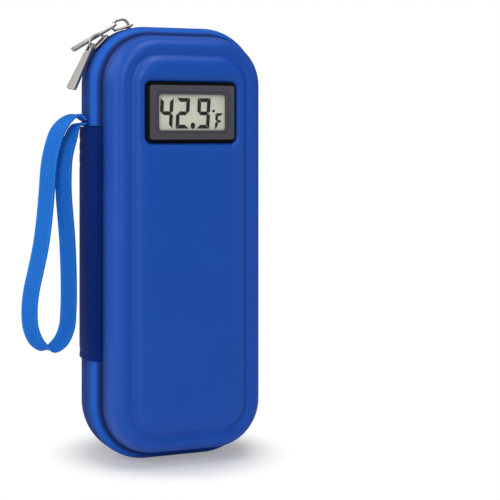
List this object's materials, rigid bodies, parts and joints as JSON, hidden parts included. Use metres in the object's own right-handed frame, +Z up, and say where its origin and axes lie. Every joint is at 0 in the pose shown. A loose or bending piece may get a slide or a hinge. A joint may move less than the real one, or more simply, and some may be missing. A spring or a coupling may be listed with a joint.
{
  "type": "insulin cooling case",
  "caption": "Hard-shell travel case for insulin pens, with gel packs, a thermometer display, zip closure and wrist strap.",
  "frame": {"origin": "middle of the rear half's flat foot, on the surface the case stands on", "axes": "+Z up the standing case, the display faces -Y, +X towards the side away from the spine"},
  "size_m": [0.1302, 0.0662, 0.2388],
  "materials": {
    "shell_blue": "satin moulded EVA",
    "tape_blue": "woven zip tape",
    "cover_navy": "smooth coated cloth",
    "web_blue": "woven webbing",
    "pack_blue": "soft glossy film with pale frost stars",
    "black_cloth": "ribbed cloth and elastic",
    "black_mesh": "fine mesh",
    "foil": "crinkled metallised lining",
    "foam": "closed-cell foam",
    "nickel": "nickel plated",
    "black_plastic": "fine moulded",
    "lens": "clear window",
    "crystal": "grey-green liquid-crystal panel",
    "board": "solder mask",
    "steel": "bright",
    "rubber": "matte"
  },
  "bodies": {
    "rear_half": {"rear_shell": "shell_blue", "rear_insulation": "foam", "rear_foil_lining": "foil", "rear_rim_binding": "black_cloth", "rear_zip_tape": "tape_blue", "rear_zip_coil": "tape_blue", "vial_pouch": "foil", "pouch_trim": "black_cloth", "holding_strap": "black_cloth"},
    "spine": {"spine_cover": "cover_navy", "spine_gusset": "black_cloth"},
    "front_half": {"front_shell": "shell_blue", "front_insulation": "foam", "front_foil_lining": "foil", "front_rim_binding": "black_cloth", "front_zip_tape": "tape_blue", "front_zip_coil": "tape_blue", "mesh_pocket": "black_mesh", "upper_pocket_band": "black_cloth", "lower_pocket_band": "black_cloth", "display_gasket": "rubber", "display_housing": "black_plastic", "display_lens": "lens", "crystal_panel": "crystal", "conductive_strip": "rubber", "circuit_board": "board", "left_button_cell": "steel", "right_button_cell": "steel", "left_cell_contact": "steel", "right_cell_contact": "steel", "cell_bridge": "steel", "unit_back_cover": "black_plastic", "battery_door": "black_plastic", "temperature_sensor": "black_plastic", "display_patch": "black_cloth"},
    "front_pack": {"front_ice_pack": "pack_blue"},
    "rear_pack": {"rear_ice_pack": "pack_blue"},
    "button": {"unit_button": "rubber"},
    "strap": {"wrist_strap": "web_blue"},
    "left_slider": {"left_slider": "nickel"},
    "left_pull": {"left_pull": "nickel"},
    "right_slider": {"right_slider": "nickel"},
    "right_pull": {"right_pull": "nickel"}
  },
  "joints": [
    {"name": "spine_fold", "type": "hinge", "parent": "rear_half", "child": "spine", "pos_m": [-0.0494, 0.0019, 0.117], "axis": [0, 0, -1], "range_deg": [0, 90], "deforming": ["spine_cover", "spine_gusset"]},
    {"name": "lid_fold", "type": "hinge", "parent": "spine", "child": "front_half", "pos_m": [-0.0494, -0.0075, 0.117], "axis": [0, 0, -1], "range_deg": [0, 90]},
    {"name": "left_slider_run", "type": "hinge", "parent": "spine", "child": "left_slider", "pos_m": [-0.0172, -0.0028, 0.2019], "axis": [0, -1, 0], "range_deg": [0, 18]},
    {"name": "left_pull_swing", "type": "hinge", "parent": "left_slider", "child": "left_pull", "pos_m": [-0.0442, -0.0028, 0.2237], "axis": [0, 1, 0], "range_deg": [0, 30]},
    {"name": "right_slider_run", "type": "hinge", "parent": "rear_half", "child": "right_slider", "pos_m": [-0.0172, -0.0028, 0.2019], "axis": [0, 1, 0], "range_deg": [0, 18]},
    {"name": "right_pull_swing", "type": "hinge", "parent": "right_slider", "child": "right_pull", "pos_m": [-0.0323, -0.0028, 0.2348], "axis": [0.5, 0.866, 0], "range_deg": [0, 60]},
    {"name": "strap_swing", "type": "hinge", "parent": "spine", "child": "strap", "pos_m": [-0.0497, -0.0028, 0.1825], "axis": [0, 1, 0], "range_deg": [0, 12]},
    {"name": "front_pack_slide", "type": "slide", "parent": "front_half", "child": "front_pack", "axis": [0, 0, 1], "range_m": [0, 0.025]},
    {"name": "rear_pack_slide", "type": "slide", "parent": "rear_half", "child": "rear_pack", "axis": [0, 0, 1], "range_m": [0, 0.025]},
    {"name": "unit_button_press", "type": "slide", "parent": "front_half", "child": "button", "axis": [0, -1, 0], "range_m": [0, 0.0005], "stiffness_N_per_m": 600}
  ],
  "couplings": [
    {"joint": "lid_fold", "follows": "spine_fold", "ratio": 1},
    {"joint": "left_slider_run", "follows": "spine_fold", "ratio": 0.2}
  ]
}
